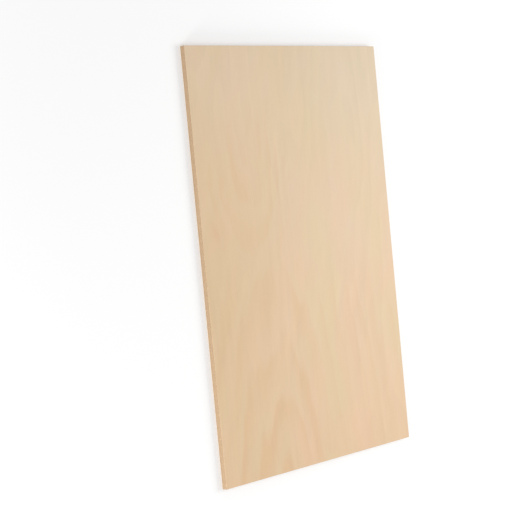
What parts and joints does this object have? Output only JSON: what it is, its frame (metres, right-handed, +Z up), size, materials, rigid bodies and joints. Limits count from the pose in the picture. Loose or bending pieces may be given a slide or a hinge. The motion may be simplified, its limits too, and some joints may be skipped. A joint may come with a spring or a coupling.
{
  "type": "plywood sheet",
  "caption": "Flat rectangular birch plywood sheet, sanded on both faces and sawn square, with its cross-banded veneers showing on the edges.",
  "frame": {"origin": "centre of the back face, which lies on the floor", "axes": "+X across the width, +Y along the length and the face grain, +Z up through the thickness, out of the front face"},
  "size_m": [0.6096, 0.9144, 0.012],
  "materials": {
    "face_veneer": "sanded, unfinished, matt",
    "long_core_veneer": "sawn edge, unfinished",
    "crossband_veneer": "sawn edge, unfinished"
  },
  "bodies": {
    "root": {"back_veneer": "face_veneer", "crossband_1": "crossband_veneer", "long_core_1": "long_core_veneer", "crossband_2": "crossband_veneer", "long_core_2": "long_core_veneer", "crossband_3": "crossband_veneer", "long_core_3": "long_core_veneer", "crossband_4": "crossband_veneer", "front_veneer": "face_veneer"}
  },
  "joints": []
}
